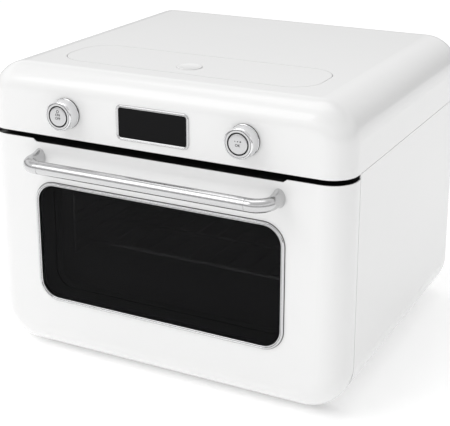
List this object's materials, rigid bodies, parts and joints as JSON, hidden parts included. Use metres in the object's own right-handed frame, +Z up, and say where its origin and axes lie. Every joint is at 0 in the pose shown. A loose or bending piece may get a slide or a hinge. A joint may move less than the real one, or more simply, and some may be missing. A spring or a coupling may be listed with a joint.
{
  "type": "countertop steam oven",
  "caption": "Countertop steam oven with a drop-down glass door, a bar handle, turn-and-press controls and a flush lid over its water tank.",
  "frame": {"origin": "middle of the footprint, on the counter under the feet", "axes": "+X to the right as seen from the front, +Y from the door to the back, +Z up"},
  "size_m": [0.499, 0.4912, 0.3942],
  "materials": {
    "casing": "gloss white enamel",
    "top_cover": "gloss white enamel",
    "rear_panel": "plain zinc grey",
    "base_pan": "plain zinc grey",
    "feet": "matt",
    "cord_gland": "moulded",
    "rear_screws": "zinc plated",
    "front_frame": "matt black",
    "cavity_liner": "satin",
    "insulation": "mineral fibre blanket",
    "cavity_rails": "zinc plated",
    "door_gasket": "silicone",
    "fan_baffle": "satin",
    "ring_heater": "heat-darkened",
    "grill_element": "heat-darkened",
    "convection_fan": "stamped",
    "fan_motor": "laminated",
    "shelf_rack_left": "polished wire",
    "shelf_rack_right": "polished wire",
    "wire_shelf": "polished wire",
    "lamp_lens": "frosted",
    "lamp_holder": "unglazed",
    "temperature_probe": "satin",
    "door_shell": "gloss white enamel",
    "door_inner_panel": "satin",
    "door_top_cap": "black",
    "outer_glass": "smoked",
    "inner_glass": "clear",
    "window_trim": "polished",
    "handle_bar": "satin chrome",
    "handle_ends": "satin chrome",
    "handle_screws": "zinc plated",
    "hinge_bracket_left": "zinc plated",
    "hinge_bracket_right": "zinc plated",
    "hinge_pins": "ground",
    "knob_left": "polished",
    "knob_right": "polished",
    "button_left": "satin",
    "button_right": "satin",
    "encoder_left": "moulded",
    "encoder_right": "moulded",
    "display_bezel": "polished",
    "display_window": "dark window",
    "display_module": "moulded",
    "control_board": "green laminate",
    "tank_bay": "moulded",
    "water_tank": "clear blue tint",
    "tank_lid": "gloss white enamel",
    "lid_hinge_rod": "ground",
    "lid_button": "gloss white enamel",
    "deck_plate": "zinc plated",
    "blower_housing": "zinc plated",
    "blower_wheel": "moulded",
    "steam_generator": "cast",
    "steam_pipe": "drawn tube",
    "water_pump": "moulded",
    "water_hoses": "silicone",
    "power_board": "green laminate",
    "power_components": "moulded"
  },
  "bodies": {
    "oven_body": {"casing": "casing", "top_cover": "top_cover", "rear_panel": "rear_panel", "base_pan": "base_pan", "feet": "feet", "cord_gland": "cord_gland", "rear_screws": "rear_screws", "front_frame": "front_frame", "cavity_liner": "cavity_liner", "insulation": "insulation", "cavity_rails": "cavity_rails", "door_gasket": "door_gasket", "fan_baffle": "fan_baffle", "ring_heater": "ring_heater", "grill_element": "grill_element", "fan_motor": "fan_motor", "shelf_rack_left": "shelf_rack_left", "shelf_rack_right": "shelf_rack_right", "wire_shelf": "wire_shelf", "lamp_lens": "lamp_lens", "lamp_holder": "lamp_holder", "temperature_probe": "temperature_probe", "hinge_bracket_left": "hinge_bracket_left", "hinge_bracket_right": "hinge_bracket_right", "hinge_pins": "hinge_pins", "encoder_left": "encoder_left", "encoder_right": "encoder_right", "display_bezel": "display_bezel", "display_window": "display_window", "display_module": "display_module", "control_board": "control_board", "tank_bay": "tank_bay", "water_tank": "water_tank", "lid_hinge_rod": "lid_hinge_rod", "deck_plate": "deck_plate", "blower_housing": "blower_housing", "steam_generator": "steam_generator", "steam_pipe": "steam_pipe", "water_pump": "water_pump", "water_hoses": "water_hoses", "power_board": "power_board", "power_components": "power_components"},
    "door": {"door_shell": "door_shell", "door_inner_panel": "door_inner_panel", "door_top_cap": "door_top_cap", "outer_glass": "outer_glass", "inner_glass": "inner_glass", "window_trim": "window_trim", "handle_bar": "handle_bar", "handle_ends": "handle_ends", "handle_screws": "handle_screws"},
    "tank_lid": {"tank_lid": "tank_lid"},
    "lid_button": {"lid_button": "lid_button"},
    "knob_left": {"knob_left": "knob_left"},
    "knob_right": {"knob_right": "knob_right"},
    "button_left": {"button_left": "button_left"},
    "button_right": {"button_right": "button_right"},
    "convection_fan": {"convection_fan": "convection_fan"},
    "blower_wheel": {"blower_wheel": "blower_wheel"}
  },
  "joints": [
    {"name": "door_hinge", "type": "hinge", "parent": "oven_body", "child": "door", "pos_m": [0, -0.19237, 0.056], "axis": [1, 0, 0], "range_deg": [0, 90]},
    {"name": "lid_hinge", "type": "hinge", "parent": "oven_body", "child": "tank_lid", "pos_m": [0, -0.03687, 0.388], "axis": [-1, 0, 0], "range_deg": [0, 80]},
    {"name": "lid_button_press", "type": "slide", "parent": "tank_lid", "child": "lid_button", "axis": [0, 0, -1], "range_m": [0, 0.0015], "stiffness_N_per_m": 400, "springref_m": -0.002},
    {"name": "knob_left_turn", "type": "hinge", "parent": "oven_body", "child": "knob_left", "pos_m": [-0.1225, -0.20237, 0.341], "axis": [0, 1, 0], "continuous": true},
    {"name": "button_left_press", "type": "slide", "parent": "oven_body", "child": "button_left", "axis": [0, 1, 0], "range_m": [0, 0.0015], "stiffness_N_per_m": 400, "springref_m": -0.001},
    {"name": "knob_right_turn", "type": "hinge", "parent": "oven_body", "child": "knob_right", "pos_m": [0.1225, -0.20237, 0.341], "axis": [0, 1, 0], "continuous": true},
    {"name": "button_right_press", "type": "slide", "parent": "oven_body", "child": "button_right", "axis": [0, 1, 0], "range_m": [0, 0.0015], "stiffness_N_per_m": 400, "springref_m": -0.001},
    {"name": "convection_fan_spin", "type": "hinge", "parent": "oven_body", "child": "convection_fan", "pos_m": [0, 0.16362, 0.188], "axis": [0, 1, 0], "continuous": true},
    {"name": "blower_spin", "type": "hinge", "parent": "oven_body", "child": "blower_wheel", "pos_m": [-0.02, 0.09763, 0.318], "axis": [0, 0, 1], "continuous": true}
  ]
}
